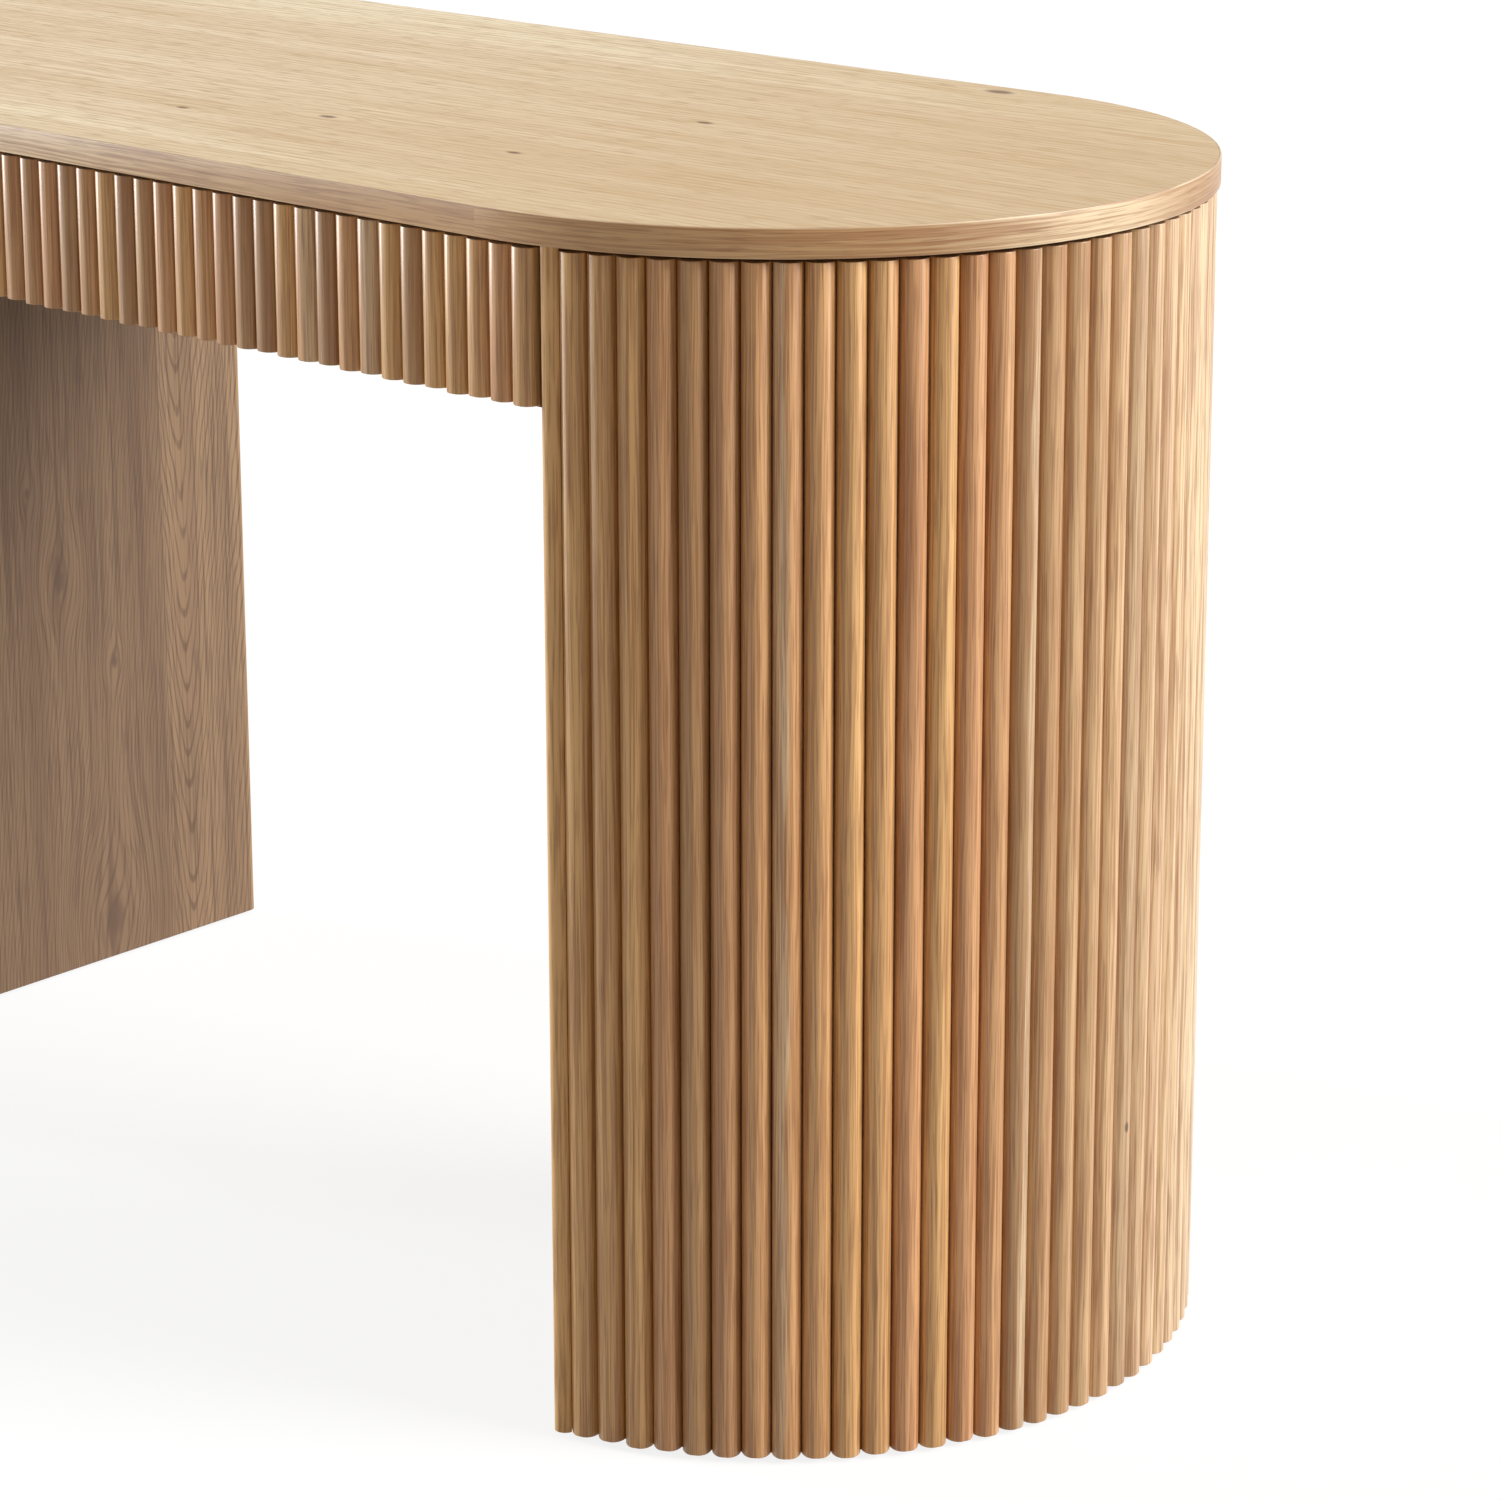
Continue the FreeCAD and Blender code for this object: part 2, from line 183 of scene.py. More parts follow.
    # Colour from the broadest difference to the finest
    colour = layer(tree, look["pale"], look["deep"], stripe, *look["stripeMask"])
    colour = layer(tree, colour, look["boardColour"], boardTone, amount=look["boardStep"])
    colour = layer(tree, colour, look["lineColour"], fibre, *look["fibreMask"], look["fibreStep"])
    colour = layer(tree, colour, look["lineColour"], broken, amount=look["lineStep"])
    colour = layer(tree, colour, look["poreColour"], pore, *look["poreMask"], look["poreStep"])
    if "paintedShadeColour" in look:      # painted shade: one end of the sheet is painted a little browner than the other, where less light falls
        colour = layer(tree, colour, look["paintedShadeColour"], parts.outputs[along], look["paintedShadeFrom"] * mm,
                       look["paintedShadeTo"] * mm, look["paintedShadeStep"])
    if dark is not None:
        colour = layer(tree, colour, look["knotColour"], dark, amount=look["knotStep"])
    if "lipColour" in look:      # the rounded edges are solid oak lips, warmer than the veneer
        lip = add(tree, "ShaderNodeAttribute", attribute_name="lip").outputs["Fac"]
        around = add(tree, "ShaderNodeMath", {0: parts.outputs[0], 1: parts.outputs[1]}, operation="ADD")
        lipSheet = add(tree, "ShaderNodeCombineXYZ", {0: around, 1: parts.outputs[along]})
        lipFibre = streaks(tree, lipSheet, look["lipWidth"], look["lipLength"], detail=3.0)
        solid = layer(tree, look["lipColour"], look["lipLine"], lipFibre, *look["lipMask"], look["lipStep"])
        colour = layer(tree, colour, solid, lip)
    if plyAxis is not None:      # a board's upper and lower edges show its crossed plies
        facing = add(tree, "ShaderNodeSeparateXYZ", {0: where.outputs["Normal"]})
        edgeOn = add(tree, "ShaderNodeMath", {0: facing.outputs[2]}, operation="ABSOLUTE")
        plies = add(tree, "ShaderNodeMath", {0: parts.outputs[plyAxis], 1: math.pi / (look["ply"] * mm)},
                    operation="MULTIPLY")
        plyWave = add(tree, "ShaderNodeMath", {0: plies}, operation="SINE")
        stack = layer(tree, look["pale"], look["plyColour"], plyWave, *look["plyMask"], look["plyStep"])
        colour = layer(tree, colour, stack, edgeOn, *look["plyFacing"])
    dents = add(tree, "ShaderNodeMapRange", {0: pore, 1: look["dentFrom"], 2: look["dentTo"]}, **smooth)
    relief = add(tree, "ShaderNodeMath", {0: dents, 1: -1.0, 2: fibre}, operation="MULTIPLY_ADD")
    bump = add(tree, "ShaderNodeBump", {"Strength": look["bump"], "Distance": look["poreDepth"] * mm,
               "Height": relief})
    rough = add(tree, "ShaderNodeMapRange", {0: fibre, 1: look["roughFrom"], 2: look["roughTo"],
                3: look["rough"] - look["smoother"], 4: look["rough"] + look["rougher"]}, **smooth)
    shader = add(tree, "ShaderNodeBsdfPrincipled", {"Base Color": colour, "Roughness": rough,
                 "Normal": bump, "IOR": look["gloss"]})
    add(tree, "ShaderNodeOutputMaterial", {0: shader})
    return material


# Satin lacquered oak veneer on the worktop: pale honey boards 190 mm wide, soft stripes, pin knots.
# Fibres and pores are drawn wider than real ones, to show. Bulge and core are in knot radii, the jump
# in metres.
topLook = {
    "boardWidth": 190, "boardStart": -12, "seed": 3.0, "boardStep": 0.3, "boardColour": "#CDA986",
    "knots": ((-112, 89, 4.5), (-150, -8, 3.5), (-128, 272, 3.5), (31, 286, 4.0), (251, 350, 7.0)),
    "knotOval": 0.5, "knotStep": 0.85, "knotColour": "#6B4A35",
    "wanderAcross": 45, "wanderAlong": 260, "wanderAmount": 60, "fibreWidth": 2.6, "fibreLength": 150,
    "poreWidth": 2.4, "poreLength": 26, "stripeWidth": 36, "stripeLength": 1500,
    "apexFirst": -60, "apexPitch": 236, "archRound": 9, "steepFirst": 14, "steepStep": 0, "archPitch": 110,
    "lineSharp": 0.2, "pale": "#F2E3C6", "deep": "#E5D2B2", "fibreStep": 0.45, "lineStep": 0.32,
    "lineColour": "#B59365", "poreStep": 0.45, "poreColour": "#AC8C60", "rough": 0.64, "bump": 0.3,
    "ply": 1.4, "plyColour": "#A47C50", "gloss": 1.35, "boardJump": (1.7, 5.3, 0.0),
    "bulge": 0.8, "bulgeFrom": 0.4, "bulgeTo": 6.0, "coreFrom": 0.2, "coreTo": 1.3,
    "stripeMask": (0.38, 0.62), "fibreMask": (0.46, 0.68), "poreMask": (0.54, 0.68),
    "threadFrom": 0.3, "threadTo": 0.6, "threadLeast": 0.5, "dentFrom": 0.54, "dentTo": 0.7,
    "poreDepth": 0.15, "roughFrom": 0.3, "roughTo": 0.7, "smoother": 0.05, "rougher": 0.06,
    "plyMask": (-0.3, 0.3), "plyStep": 0.8, "plyFacing": (0.6, 0.8),
}
# The same veneer stood on end on the inner panels, painted browner and darker than the worktop as painted
# shade of the kneehole, with the board tones set so the front reads darker than the rear, also painted
# shade; straight in front, arched on the rear board
panelLook = dict(topLook, **{
    "seed": 192.0, "boardStep": 0.5, "boardColour": "#664E3B",
    "knots": ((44, 394, 2.6), (72, 320, 6.0), (124, 244, 3.2), (115, 37, 11.0)), "knotStep": 0.8,
    "knotColour": "#5A4334", "apexFirst": -30, "apexPitch": 227, "archRound": 6, "steepFirst": 9,
    "steepStep": -2, "archPitch": 32, "wanderAmount": 120, "wanderAcross": 40, "wanderAlong": 140,
    "lineSharp": 0.4, "fibreWidth": 2.4, "fibreLength": 240,
    "pale": "#987B5E", "deep": "#866A50", "lineStep": 0.65, "lineColour": "#553D2D", "fibreStep": 0.65,
    "stripeWidth": 28, "poreStep": 0.4, "poreWidth": 2.0, "poreLength": 50, "poreColour": "#553E2E",
    "bump": 0.4, "rough": 0.5, "gloss": 1.45, "lipColour": "#DDB078", "lipLine": "#96653C",
    "lipWidth": 2.4, "lipLength": 60, "lipMask": (0.44, 0.66), "lipStep": 0.6,
})
# Brown-stained plywood behind the slats and inside the pedestals: dull, dark, rotary-cut figure
stainedPlyLook = dict(topLook, **{
    "seed": 5.0, "boardWidth": 900, "boardStart": -450, "knots": (), "archPitch": 120, "steepFirst": 8,
    "pale": "#6E5137", "deep": "#5C422C", "boardColour": "#5A402B", "lineColour": "#452F1E",
    "poreColour": "#3A2718", "plyColour": "#4A331F", "rough": 0.62,
})
# Clear birch plywood of the drawer box: pale, fine, with faint wavy rotary-cut figure
birchLook = dict(topLook, **{
    "seed": 8.0, "boardWidth": 1800, "boardStart": -900, "knots": (), "archPitch": 90, "steepFirst": 10,
    "pale": "#E0C79C", "deep": "#D6BA8C", "boardColour": "#D8BD92", "lineColour": "#BE9C6C",
    "poreColour": "#B08E62", "poreStep": 0.15, "lineStep": 0.25, "fibreStep": 0.3, "rough": 0.45,
})
# Thin veneered hardboard of the drawer bottom: smoother and a little browner
hardboardLook = dict(birchLook, **{"seed": 14.0, "pale": "#D2B68C", "deep": "#C4A678", "rough": 0.5})
# Plain beech dowels: pinkish, with short brown flecks
beechLook = dict(birchLook, **{"seed": 19.0, "pale": "#DDB88E", "deep": "#CFA67C", "poreColour": "#97693F",
                               "poreStep": 0.5, "poreLength": 3})
# Painted shade: the worktop's veneer is painted a little browner towards its right end, away from the left
# lamp
topPaintedShade = {"paintedShadeColour": "#CDAA7B", "paintedShadeFrom": -250, "paintedShadeTo": 550, "paintedShadeStep": 0.45}
topVeneer = slicedWood("oakVeneerSatinLacquer", 1, 0, dict(topLook, **topPaintedShade))
panelVeneer = slicedWood("oakVeneerUprightSatin", 1, 2, panelLook)
stainedPlyUpright = slicedWood("plywoodBrownStained", 0, 2, stainedPlyLook)
stainedPlyFlat = slicedWood("plywoodBrownStainedFlat", 1, 0, stainedPlyLook)
stainedPlyRail = slicedWood("plywoodBrownStainedRail", 2, 0, stainedPlyLook, plyAxis=1)
birchLong = slicedWood("birchPlywoodAlongDepth", 2, 1, birchLook, plyAxis=0)
birchCross = slicedWood("birchPlywoodAlongWidth", 2, 0, birchLook, plyAxis=1)
hardboard = slicedWood("hardboardVeneered", 1, 0, hardboardLook)
beech = slicedWood("beechTurned", 0, 2, beechLook)
print("sheet woods made")


# Solid oak strip, planed and lacquered: long fine streaks under a soft sheen. Each strip has its own tone,
# and some keep a pale sapwood side. The gloss is the lacquer's, so the wood below keeps its brown.
# The grain UV is (across, along) in metres; the facts tone, warm, pale, sap, side and endGrain ride on it.
# The pale fact is painted light: it lays the pale sap colour where the lamps fall.
slatLook = {
    "honey": "#DFB173", "red": "#D49F6E", "grey": "#AE875A", "sap": "#F2DFBC", "line": "#8E5629",
    "pore": "#764622", "knot": "#4E3020", "end": "#7E5A39", "rough": 0.5, "bump": 0.4, "coatRough": 0.42,
    "woodGloss": 0.12,
    "ribbonWidth": 10, "ribbonLength": 420, "lineWidth": 2.4, "lineLength": 170, "fibreWidth": 1.4,
    "fibreLength": 120, "poreWidth": 1.0, "poreLength": 42, "wanderWidth": 12, "wanderLength": 150,
    "knotWidth": 80, "knotLength": 160, "knotShare": 0.2, "knotFrom": 0.012, "knotTo": 0.03,
    "knotStep": 0.8, "ribbonMask": (0.4, 0.68), "ribbonStep": 0.25, "lineMask": (0.5, 0.6), "lineStep": 0.4,
    "fibreMask": (0.46, 0.62), "fibreStep": 0.45, "poreMask": (0.54, 0.66), "poreStep": 0.34,
    "endMask": (0.5, 1.0), "endStep": 0.7, "lean": 4, "sapWander": 1.6, "sapFrom": 0.75, "sapTo": 0.95,
    "dentFrom": 0.54, "dentTo": 0.7, "poreDepth": 0.15, "roughFrom": 0.3, "roughTo": 0.7,
    "smoother": 0.06, "rougher": 0.08,
}


def solidOak(name, look):
    material, tree = startMaterial(name)
    grain = add(tree, "ShaderNodeUVMap", uv_map="grain")
    tone, warm, pale, sap, side, endGrain = [
        add(tree, "ShaderNodeAttribute", attribute_name=key).outputs["Fac"]
        for key in ("tone", "warm", "pale", "sap", "side", "endGrain")]
    # Growth lines lean a little as they run, so the across value is pushed by a slow wander
    wander = streaks(tree, grain, look["wanderWidth"], look["wanderLength"])
    push = add(tree, "ShaderNodeVectorMath", {0: wander.outputs["Color"], 1: (look["lean"] * mm, 0.0, 0.0)},
               operation="MULTIPLY")
    leaning = add(tree, "ShaderNodeVectorMath", {0: grain, 1: push}, operation="ADD")
    ribbon = streaks(tree, leaning, look["ribbonWidth"], look["ribbonLength"])
    line = streaks(tree, leaning, look["lineWidth"], look["lineLength"])
    fibre = streaks(tree, leaning, look["fibreWidth"], look["fibreLength"])
    # Pores are drawn wider and longer than real ones, to show
    pore = streaks(tree, grain, look["poreWidth"], look["poreLength"], detail=1.0)
    # A pin knot sits in about one cell in eleven of a wide-spaced scatter
    spacing = (1 / (look["knotWidth"] * mm), 1 / (look["knotLength"] * mm), 1)
    cells = add(tree, "ShaderNodeMapping", {0: grain, 3: spacing})
    scatter = add(tree, "ShaderNodeTexVoronoi", {"Vector": cells, "Scale": 1.0}, voronoi_dimensions="2D")
    chosen = add(tree, "ShaderNodeMath", {0: scatter.outputs["Color"], 1: look["knotShare"]},
                 operation="LESS_THAN")
    near = add(tree, "ShaderNodeMapRange", {0: scatter.outputs["Distance"], 1: look["knotFrom"],
               2: look["knotTo"], 3: 1.0, 4: 0.0}, **smooth)
    knot = add(tree, "ShaderNodeMath", {0: near, 1: chosen}, operation="MULTIPLY")
    # The sapwood ends along a wavering line
    edge = add(tree, "ShaderNodeMath", {0: wander, 1: look["sapWander"], 2: side}, operation="MULTIPLY_ADD")
    split = add(tree, "ShaderNodeMapRange", {0: edge, 1: look["sapFrom"], 2: look["sapTo"]}, **smooth)
    half = add(tree, "ShaderNodeMath", {0: split, 1: sap}, operation="MULTIPLY")
    colour = layer(tree, look["honey"], look["red"], warm)
    colour = layer(tree, colour, look["grey"], tone)
    # Painted light: the pale fact lays the sap colour over slats and band where the lamps fall
    colour = layer(tree, colour, look["sap"], pale)
    colour = layer(tree, colour, look["sap"], half)
    colour = layer(tree, colour, look["line"], ribbon, *look["ribbonMask"], look["ribbonStep"])
    colour = layer(tree, colour, look["line"], line, *look["lineMask"], look["lineStep"])
    colour = layer(tree, colour, look["line"], fibre, *look["fibreMask"], look["fibreStep"])
    colour = layer(tree, colour, look["pore"], pore, *look["poreMask"], look["poreStep"])
    colour = layer(tree, colour, look["knot"], knot, amount=look["knotStep"])
    colour = layer(tree, colour, look["end"], endGrain, *look["endMask"], look["endStep"])
    dents = add(tree, "ShaderNodeMapRange", {0: pore, 1: look["dentFrom"], 2: look["dentTo"]}, **smooth)
    relief = add(tree, "ShaderNodeMath", {0: dents, 1: -1.0, 2: fibre}, operation="MULTIPLY_ADD")
    bump = add(tree, "ShaderNodeBump", {"Strength": look["bump"], "Distance": look["poreDepth"] * mm,
               "Height": relief})
    rough = add(tree, "ShaderNodeMapRange", {0: fibre, 1: look["roughFrom"], 2: look["roughTo"],
                3: look["rough"] - look["smoother"], 4: look["rough"] + look["rougher"]}, **smooth)
    shader = add(tree, "ShaderNodeBsdfPrincipled", {
        "Base Color": colour, "Roughness": rough, "Normal": bump, "Coat Weight": 1.0,
        "Coat Roughness": look["coatRough"], "Specular IOR Level": look["woodGloss"]})
    add(tree, "ShaderNodeOutputMaterial", {0: shader})
    return material


slatOak = solidOak("oakSolidPlanedLacquer", slatLook)
# The same oak as a thin edge strip: browner, with calmer ribbons and longer lines
bandLook = dict(slatLook, honey="#D0A876", red="#C89F70", grey="#AD8556", sap="#F6E0BC", lineLength=190,
                poreLength=30, ribbonStep=0.15)
bandOak = solidOak("oakEdgeStripLacquer", bandLook)

# Slats: millimetres, angles in degrees about each end's centre. The shifts set each slat's grain apart.
slats = {
    "width": 17.7, "base": 1.6, "seat": 257.55, "top": 739.5, "endBreak": 0.5, "shortest": 1.2,
    "arcSteps": 12, "pedestalBottom": 3.0, "pedestalCount": 39, "arcCentre": 380.0, "fanEnd": 76.08,
    "apronBottom": 645.0, "frontWidth": 841.0, "frontCount": 46, "rearWidth": 847.0, "rearCount": 47,
    "sapShare": 0.1, "sapStrength": 0.45, "toneBias": 2.4, "paintedLightStep": 0.8, "paintedLightFrom": -30, "paintedLightSpan": 70,
    "backGirth": 70.0, "slatShift": 137.0, "rowShift": 900.0, "lengthShift": 2000,
}


def slatRow(name, footX, footY, angles, bottom, seed, body, node, pale):
    # Each slat is a half circle on a short straight base, carried up from bottom to top. The end rows
    # are drawn in a little, so both ends have a broken edge.
    draw = np.random.default_rng(seed)
    count = len(angles)
    half = slats["width"] / 2
    sweep = np.radians(np.linspace(-90, 90, slats["arcSteps"] + 1))
    outward = np.concatenate([[0], slats["base"] + half * np.cos(sweep), [0]])
    sideways = np.concatenate([[-half], half * np.sin(sweep), [half]])
    shy = slats["endBreak"]
    inset = np.array([shy, 0, 0, shy])
    rowOut = np.clip(outward[None], inset[:, None], outward.max() - inset[:, None])
    rowSide = sideways[None] * (1 - inset[:, None] / half)
    low = bottom + draw.uniform(0, slats["shortest"], count)
    high = np.full(count, slats["top"])
    heights = np.stack([low, low + shy, high - shy, high], 1)
    turn = np.radians(angles)[:, None, None]
    x = footX[:, None, None] + rowOut * np.cos(turn) - rowSide * np.sin(turn)
    y = footY[:, None, None] + rowOut * np.sin(turn) + rowSide * np.cos(turn)
    points = np.stack([x, y, np.broadcast_to(heights[:, :, None], x.shape)], -1) * mm
    girth = np.concatenate([[0], np.cumsum(np.hypot(np.diff(outward), np.diff(sideways))),
                            [slats["backGirth"]]])
    number = np.arange(count)[:, None, None]
    acrossGrain = girth[None, None] + slats["slatShift"] * number + slats["rowShift"] * seed
    alongGrain = heights[:, :, None] + slats["lengthShift"] * draw.random((count, 1, 1))
    uv = np.stack(np.broadcast_arrays(acrossGrain, alongGrain), -1) * mm
    sapDraw = draw.random((count, 1, 1))
    facts = {
        "tone": draw.random((count, 1, 1)) ** slats["toneBias"], "warm": draw.random((count, 1, 1)),
        # pale is painted light: a paler colour where the slats face the lamps
        "pale": pale[:, None, None],
        "sap": np.where(sapDraw < slats["sapShare"], slats["sapStrength"], 0.0),
        "side": (sideways / half)[None, None] * draw.choice([-1, 1], (count, 1, 1)),
        "endGrain": np.array([1.0, 0.0, 0.0, 1.0])[None, :, None],
    }
    makePiece(name, points, uv, body, [node], slatOak, facts=facts)


fan = np.linspace(-slats["fanEnd"], slats["fanEnd"], slats["pedestalCount"])
# Painted light: the pedestals' outer and rear slats, which face the lamps, are painted paler
fanPaintedLight = slats["paintedLightStep"] * np.clip((fan - slats["paintedLightFrom"]) / slats["paintedLightSpan"], 0, 1)
for sideName, centre, angles, seed in (("right", slats["arcCentre"], fan, 1),
                                       ("left", -slats["arcCentre"], 180 - fan, 2)):
    slatRow(sideName + "PedestalSlats", centre + slats["seat"] * np.cos(np.radians(angles)),
            slats["seat"] * np.sin(np.radians(angles)), angles, slats["pedestalBottom"], seed,
            "desk", sideName + "_pedestal_slats", fanPaintedLight)
for rowName, width, count, angle, seed, body, node in (
        ("drawerFrontSlats", slats["frontWidth"], slats["frontCount"], -90, 6, "drawer",
         "drawer_front_slats"),
        ("rearRailSlats", slats["rearWidth"], slats["rearCount"], 90, 4, "desk", "rear_rail_slats")):
    footX = (np.arange(count) - (count - 1) / 2) * width / count
    slatRow(rowName, footX, np.full(count, math.copysign(slats["seat"], angle)), np.full(count, angle),
            slats["apronBottom"], seed, body, node, np.zeros(count))
print("slats made")

# Worktop board and its edge band, millimetres
worktop = {"endRadius": 270.0, "arcCentre": 380.0, "bottom": 742.0, "top": 760.0, "bandThickness": 1.0,
           "glueLine": 0.2, "arris": 0.8, "arcSteps": 72, "arrisSteps": 4}


def pillPath(radius):
    # Two half circles about the end centres; the straight sides join them. Counter-clockwise from above.
    sweep = np.radians(np.linspace(-90, 90, worktop["arcSteps"] + 1))
    turn = np.concatenate([sweep, sweep + math.pi])
    side = np.repeat([1, -1], len(sweep))
    return np.stack([side * worktop["arcCentre"] + radius * np.cos(turn), radius * np.sin(turn)], -1), turn


edge, turn = pillPath(worktop["endRadius"] - worktop["bandThickness"] - worktop["glueLine"])
levels = np.array([worktop["bottom"], worktop["top"]])
boardPoints = np.concatenate([np.broadcast_to(edge, (2, *edge.shape)),
                              np.broadcast_to(levels[:, None, None], (2, len(edge), 1))], -1)[None] * mm
makePiece("worktopBoard", boardPoints, np.zeros((1, 2, len(edge) + 1, 2)), "desk",
          ["worktop"], topVeneer)

# Band: a thin upright strip with rounded arrises carried round the pill. Its oak has painted light: paler
# to the left and in a stretch round the right front; painted shade, browner at the far right; painted
# highlights on both arrises.
band = {"paintedLightMiddle": 0.35, "paintedLightSlope": 0.9, "paintedLightMost": 0.9, "paintedLightStretch": 0.7, "paintedLightStretchAt": -8,
        "paintedLightStretchWide": 22, "toneLeast": 0.3, "paintedShadeStart": 560, "paintedShadeSpan": 80, "warm": 0.4, "paintedArrisHighlight": 0.35,
        "paintedArrisFrom": 8.3}
corner = np.radians(np.linspace(90, 0, worktop["arrisSteps"]))
arris = worktop["arris"]
upperOut = arris * (np.cos(corner) - 1)
upperZ = worktop["top"] + arris * (np.sin(corner) - 1)
back = [-worktop["bandThickness"]]
bandOut = np.concatenate([back, upperOut, upperOut[::-1], back])
bandZ = np.concatenate([[worktop["top"]], upperZ, worktop["top"] + worktop["bottom"] - upperZ[::-1],
                        [worktop["bottom"]]])
outer, turn = pillPath(worktop["endRadius"])
bandPoints = np.stack([outer[:, :1] + bandOut * np.cos(turn)[:, None],
                       outer[:, 1:] + bandOut * np.sin(turn)[:, None],
                       np.broadcast_to(bandZ, (len(outer), len(bandZ)))], -1)[None] * mm
aroundBand = np.linalg.norm(np.diff(outer, axis=0, append=outer[:1]), axis=1)
alongBand = np.concatenate([[0], np.cumsum(aroundBand)])
acrossBand = np.concatenate([bandZ, bandZ[:1]])
bandUv = np.stack(np.broadcast_arrays(acrossBand[None], alongBand[:, None]), -1)[None] * mm
# Painted light: the band is painted paler towards its left end, near the left lamp
bandPaintedLight = np.clip(band["paintedLightMiddle"] - band["paintedLightSlope"] * outer[:, 0] / worktop["arcCentre"], 0.0,
                   band["paintedLightMost"])
# Painted light: a paler stretch round the right front, where the right lamp falls
bandPaintedLight += band["paintedLightStretch"] * np.exp(-((np.degrees(turn) - band["paintedLightStretchAt"]) / band["paintedLightStretchWide"]) ** 2)
# Painted shade: the band's tone is a fixed share all round and is painted up to full at the far right,
# where the right lamp falls
farRightPaintedShade = np.clip((outer[:, 0] - band["paintedShadeStart"]) / band["paintedShadeSpan"], 0, 1)
bandToneAndPaintedShade = band["toneLeast"] + (1 - band["toneLeast"]) * farRightPaintedShade
middle = (worktop["top"] + worktop["bottom"]) / 2
# Painted highlight: both arrises of the band are painted paler
paintedArrisHighlight = np.where(np.abs(bandZ - middle) > band["paintedArrisFrom"], band["paintedArrisHighlight"], 0.0)
makePiece("worktopEdgeBand", bandPoints, bandUv, "desk", ["worktop_edge_band"], bandOak,
          loop=True, facts={"tone": bandToneAndPaintedShade[None, :, None], "warm": band["warm"], "side": 1.0, "sap": 0.0,
                            "pale": np.minimum(bandPaintedLight[None, :, None] + paintedArrisHighlight, 1.0)})
print("worktop made")

# Inner panels: a plan carried up from the glides to the worktop, millimetres. Front and rear edges are
# lips: a small quarter round on the kneehole side, then a wider arc that runs to the first slat.
panels = {"face": 424.0, "thickness": 9.0, "reach": 263.57, "bottom": 3.0, "top": 742.0, "arris": 0.5,
          "steps": 8, "lipRound": 7.7, "lipEnd": 344.0, "lipBack": 2.57, "lipStart": 0.1, "rearLip": 0.3}
nose = panels["thickness"] / 2
innerTurn = np.radians(np.linspace(180, 270, panels["steps"]))
outerTurn = np.radians(np.linspace(270, panels["lipEnd"], panels["steps"]))[1:]
inset = np.array([panels["arris"], 0.0, 0.0])[:, None]
straight = panels["reach"] - nose
ones = np.ones((3, 1))
noseX = np.concatenate([inset - nose, (nose - inset) * np.cos(innerTurn),
                        (panels["lipRound"] - inset) * np.cos(outerTurn), nose - inset], 1)
noseY = np.concatenate([panels["lipStart"] * ones, (nose - inset) * np.sin(innerTurn),
                        panels["lipRound"] - nose + (panels["lipRound"] - inset) * np.sin(outerTurn),
                        panels["lipBack"] * ones], 1)
planX = np.concatenate([noseX, noseX[:, ::-1]], 1) + panels["face"] + nose
planY = np.concatenate([noseY - straight, straight - noseY[:, ::-1]], 1)
lipRing = np.concatenate([[0.0], np.ones(noseX.shape[1] - 2), [0.0]])
# Painted shade: the rear lip is painted closer to the veneer's darker colour, as less light reaches it
lipFact = np.concatenate([lipRing, panels["rearLip"] * lipRing])
panelLevels = np.array([panels["bottom"], panels["bottom"] + panels["arris"], panels["top"]])
planZ = np.broadcast_to(panelLevels[:, None], planX.shape)
for sideName, flip in (("right", 1), ("left", -1)):
    panelPoints = np.stack([flip * planX, planY, planZ], -1)[None, :, ::flip] * mm
    makePiece(sideName + "InnerPanel", panelPoints, np.zeros((1, 3, planX.shape[1] + 1, 2)), "desk",
              [sideName + "_inner_panel"], panelVeneer,
              facts={"lip": lipFact[None, None, ::flip]})
print("inner panels made")

# Zinc-plated steel of slides, brackets and screws: pressed sheet, cloudy spangle and fine drawing lines
zincLook = {"pale": "#B9BCBD", "deep": "#9DA1A4", "spangle": 9.0, "lineWidth": 0.5, "lineLength": 60.0,
            "cloudFrom": 0.3, "cloudTo": 0.7, "roughLeast": 0.3, "roughMost": 0.46, "bump": 0.15,
            "lineDepth": 0.05}
zinc, tree = startMaterial("steelZincPlated")
where = add(tree, "ShaderNodeTexCoord").outputs["Object"]
cloudy = add(tree, "ShaderNodeTexNoise", {"Vector": where, "Scale": 1 / (zincLook["spangle"] * mm),
             "Detail": 3.0})
parts = add(tree, "ShaderNodeSeparateXYZ", {0: where})
drawnAlong = add(tree, "ShaderNodeCombineXYZ", {0: parts.outputs[2], 1: parts.outputs[1]})
drawn = streaks(tree, drawnAlong, zincLook["lineWidth"], zincLook["lineLength"])
colour = layer(tree, zincLook["pale"], zincLook["deep"], cloudy, zincLook["cloudFrom"], zincLook["cloudTo"])
rough = add(tree, "ShaderNodeMapRange", {0: cloudy, 1: zincLook["cloudFrom"], 2: zincLook["cloudTo"],
            3: zincLook["roughLeast"], 4: zincLook["roughMost"]}, **smooth)
bump = add(tree, "ShaderNodeBump", {"Strength": zincLook["bump"], "Distance": zincLook["lineDepth"] * mm,
           "Height": drawn})
shader = add(tree, "ShaderNodeBsdfPrincipled", {"Base Color": colour, "Roughness": rough, "Normal": bump,
             "Metallic": 1.0})
add(tree, "ShaderNodeOutputMaterial", {0: shader})

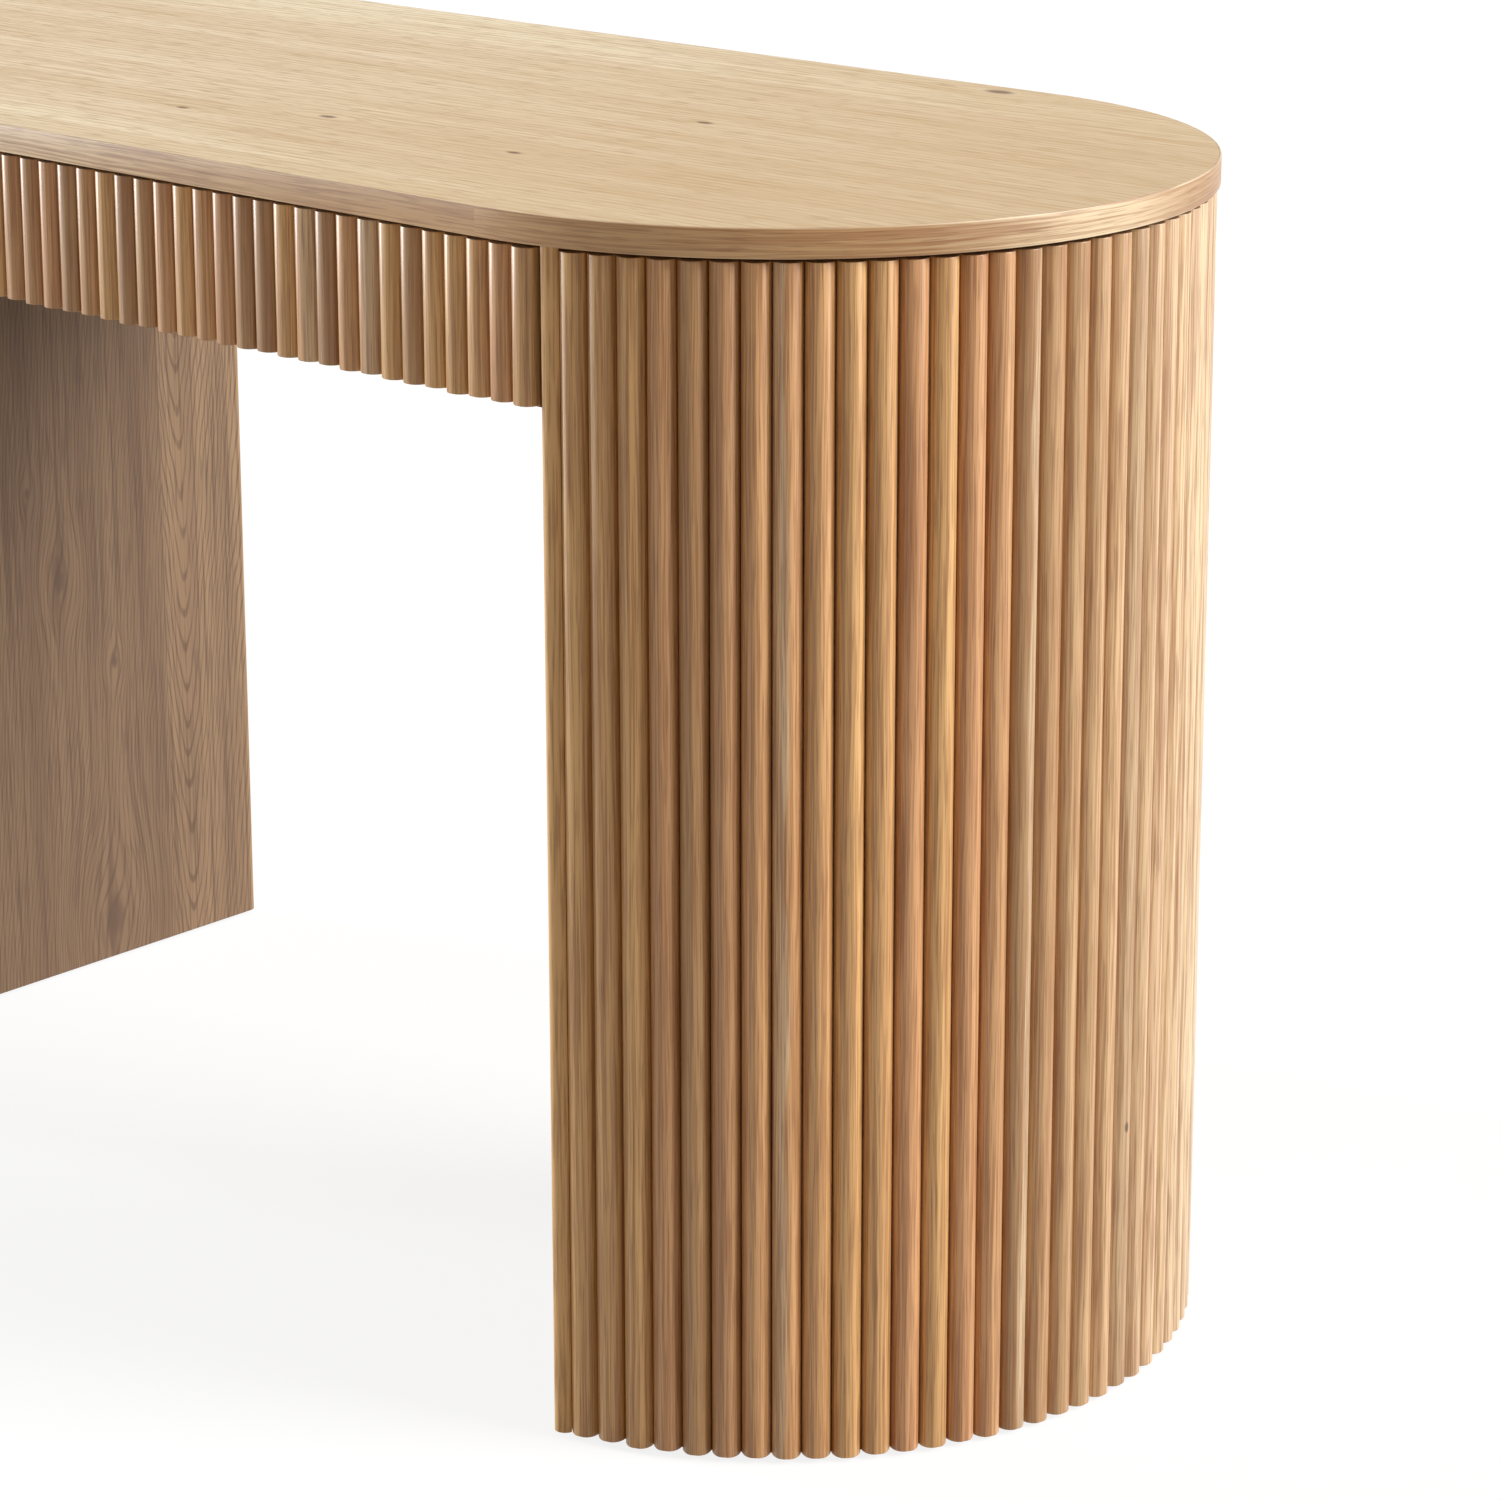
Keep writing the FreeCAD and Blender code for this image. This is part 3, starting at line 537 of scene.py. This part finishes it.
# Moulded nylon glides: dark, matt, with a fine spark-eroded skin
nylonLook = {"pale": "#3A322B", "deep": "#2A241F", "grit": 0.5, "gritMask": (0.35, 0.65), "roughFrom": 0.3,
             "roughTo": 0.7, "roughLeast": 0.5, "roughMost": 0.62, "bump": 0.3, "gritDepth": 0.05}
nylon, tree = startMaterial("nylonMoulded")
where = add(tree, "ShaderNodeTexCoord").outputs["Object"]
skin = add(tree, "ShaderNodeTexNoise", {"Vector": where, "Scale": 1 / (nylonLook["grit"] * mm),
           "Detail": 2.0})
colour = layer(tree, nylonLook["pale"], nylonLook["deep"], skin, *nylonLook["gritMask"])
rough = add(tree, "ShaderNodeMapRange", {0: skin, 1: nylonLook["roughFrom"], 2: nylonLook["roughTo"],
            3: nylonLook["roughLeast"], 4: nylonLook["roughMost"]}, **smooth)
bump = add(tree, "ShaderNodeBump", {"Strength": nylonLook["bump"], "Distance": nylonLook["gritDepth"] * mm,
           "Height": skin})
shader = add(tree, "ShaderNodeBsdfPrincipled", {"Base Color": colour, "Roughness": rough, "Normal": bump})
add(tree, "ShaderNodeOutputMaterial", {0: shader})

# CAD nodes that stay take the first finish whose word is in their name
finishes = (("slide", zinc), ("bracket", zinc), ("screws", zinc), ("glides", nylon), ("dowels", beech),
            ("drawer_side", birchLong), ("box_front", birchCross), ("box_back", birchCross),
            ("drawer_bottom", hardboard), ("plate", stainedPlyFlat), ("ribs", stainedPlyFlat),
            ("shell", stainedPlyUpright), ("rear_rail", stainedPlyRail), ("front_panel", stainedPlyRail))
for nodeName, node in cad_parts.items():
    if not node.hide_render:
        node.data.materials.clear()
        node.data.materials.append(next(finish for word, finish in finishes if word in nodeName))
print("finishes on", sum(not node.hide_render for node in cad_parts.values()), "CAD nodes")

# Studio: even white surroundings, a wide soft lamp from the right, a tall panel at the left, a pale floor
studio = {"ambient": 0.23, "ambientColour": "#FFF6EA", "floorHalf": 40.0, "floorCamera": "#757575",
          "floorGlow": 0.85, "floorBounce": "#C8C4BC"}
rightLamp = {"strength": 4.15, "disc": 32.0, "towards": (0.76, 0.41, 0.47)}
leftLamp = {"watts": 1900.0, "colour": (0.96, 1.0, 1.03), "width": 2.4, "tall": 5.0,
            "place": (-12.0, -4.2, 2.0), "aim": (-0.3, -0.2, 0.6)}


def seenRays(tree):
    # One for rays from the camera, a mirror or a glass, nought for the rays that light the part
    path = add(tree, "ShaderNodeLightPath")
    seen = add(tree, "ShaderNodeMath", {0: path.outputs["Is Camera Ray"], 1: path.outputs["Is Glossy Ray"]},
               operation="MAXIMUM")
    return add(tree, "ShaderNodeMath", {0: seen, 1: path.outputs["Is Transmission Ray"]},
               operation="MAXIMUM")


world = bpy.data.worlds.new("studio")
bpy.context.scene.world = world
world.use_nodes = True
tree = world.node_tree
tree.nodes.clear()
dim = add(tree, "ShaderNodeBackground", {"Color": toLinear(studio["ambientColour"]),
          "Strength": studio["ambient"]})
white = add(tree, "ShaderNodeBackground", {"Color": (1, 1, 1, 1), "Strength": 1.0})
around = add(tree, "ShaderNodeMixShader", {0: seenRays(tree), 1: dim, 2: white})
add(tree, "ShaderNodeOutputWorld", {0: around})

sun = bpy.data.objects.new("rightLamp", bpy.data.lights.new("rightLamp", "SUN"))
sun.data.energy = rightLamp["strength"]
sun.data.angle = math.radians(rightLamp["disc"])
sun.rotation_euler = (-Vector(rightLamp["towards"])).to_track_quat("-Z", "Y").to_euler()
bpy.context.scene.collection.objects.link(sun)
softbox = bpy.data.objects.new("leftLamp", bpy.data.lights.new("leftLamp", "AREA"))
softbox.data.energy = leftLamp["watts"]
softbox.data.color = leftLamp["colour"]
softbox.data.shape = "RECTANGLE"
softbox.data.size = leftLamp["width"]
softbox.data.size_y = leftLamp["tall"]
softbox.location = leftLamp["place"]
towardsDesk = Vector(leftLamp["aim"]) - Vector(leftLamp["place"])
softbox.rotation_euler = towardsDesk.to_track_quat("-Z", "Y").to_euler()
softbox.visible_camera = False
bpy.context.scene.collection.objects.link(softbox)

# The floor glows a little for the camera so that it reads white, and still takes the shadow
floorMaterial, tree = startMaterial("floorPaintedPale")
bounce = add(tree, "ShaderNodeBsdfDiffuse", {"Color": toLinear(studio["floorBounce"])})
paint = add(tree, "ShaderNodeBsdfDiffuse", {"Color": toLinear(studio["floorCamera"])})
glow = add(tree, "ShaderNodeEmission", {"Strength": studio["floorGlow"]})
lit = add(tree, "ShaderNodeAddShader", {0: paint, 1: glow})
surface = add(tree, "ShaderNodeMixShader", {0: seenRays(tree), 1: bounce, 2: lit})
add(tree, "ShaderNodeOutputMaterial", {0: surface})
floorMesh = bpy.data.meshes.new("floor")
reach = studio["floorHalf"]
floorMesh.from_pydata([(-reach, -reach, 0), (reach, -reach, 0), (reach, reach, 0), (-reach, reach, 0)], [],
                      [(0, 1, 2, 3)])
floorMesh.materials.append(floorMaterial)
floor = bpy.data.objects.new("floor", floorMesh)
bpy.context.scene.collection.objects.link(floor)

# Camera: a long lens from the front right, a little above the worktop; pixels are those of a 1500 square
view = {"place": (2.2163, -2.0888, 1.2427), "yaw": 41.747, "pitch": 14.804, "roll": -0.032,
        "focalPixels": 4544.3, "axisPixel": (750, 540), "imagePixels": 1500, "sensor": 36, "farEnd": 100}
camera = bpy.data.objects.new("camera", bpy.data.cameras.new("camera"))
camera.data.sensor_width = view["sensor"]
camera.data.lens = view["focalPixels"] / view["imagePixels"] * view["sensor"]
camera.data.shift_x = (view["imagePixels"] / 2 - view["axisPixel"][0]) / view["imagePixels"]
camera.data.shift_y = (view["axisPixel"][1] - view["imagePixels"] / 2) / view["imagePixels"]
camera.data.clip_end = view["farEnd"]
turned = (Matrix.Rotation(math.radians(view["yaw"]), 4, "Z")
          @ Matrix.Rotation(math.radians(90 - view["pitch"]), 4, "X")
          @ Matrix.Rotation(math.radians(view["roll"]), 4, "Z"))
camera.matrix_world = Matrix.Translation(view["place"]) @ turned
bpy.context.scene.collection.objects.link(camera)
bpy.context.scene.camera = camera
bpy.context.scene.view_settings.view_transform = "Standard"
print("studio and camera set")
